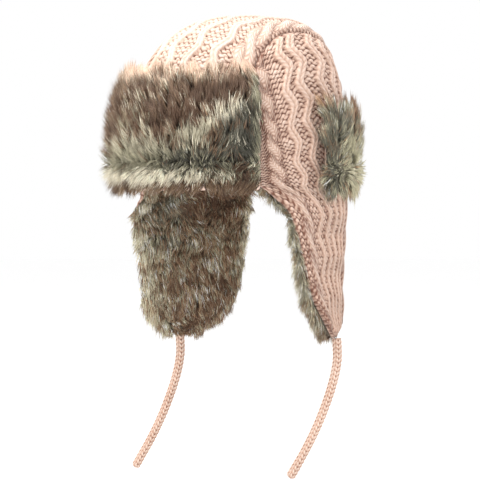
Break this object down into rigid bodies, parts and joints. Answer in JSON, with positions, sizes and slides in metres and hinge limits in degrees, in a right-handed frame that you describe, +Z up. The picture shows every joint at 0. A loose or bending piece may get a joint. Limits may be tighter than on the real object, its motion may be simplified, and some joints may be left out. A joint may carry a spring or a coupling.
{
  "type": "knit ushanka",
  "caption": "Cable-knit trapper hat: a crown strip between side panels that run down into fur-lined ear flaps, fur flaps turned up at brow and nape, and knitted cord ties.",
  "frame": {"origin": "Middle of the head opening, level with the brow edge of the knit: the place where the hat sits on a head.", "axes": "+X is the wearer's left, -Y the brow with the turned-up visor, +Y the nape, +Z up through the crown. Ear flaps and ties hang towards -Z."},
  "size_m": [0.2432, 0.2634, 0.438],
  "materials": {
    "knit": "pale pink chunky knit, matt",
    "fur": "mottled brown, grey and cream long-pile faux fur",
    "tie": "pale pink knitted cord, matt"
  },
  "bodies": {
    "root": {"crown_strip": "knit", "side_panel_left": "knit", "side_panel_right": "knit", "visor_backing": "knit", "visor_fur": "fur", "neck_flap_backing": "knit", "neck_flap_fur": "fur", "ear_lining_left": "fur", "ear_lining_right": "fur", "tie_left": "tie", "tie_right": "tie"}
  },
  "joints": []
}
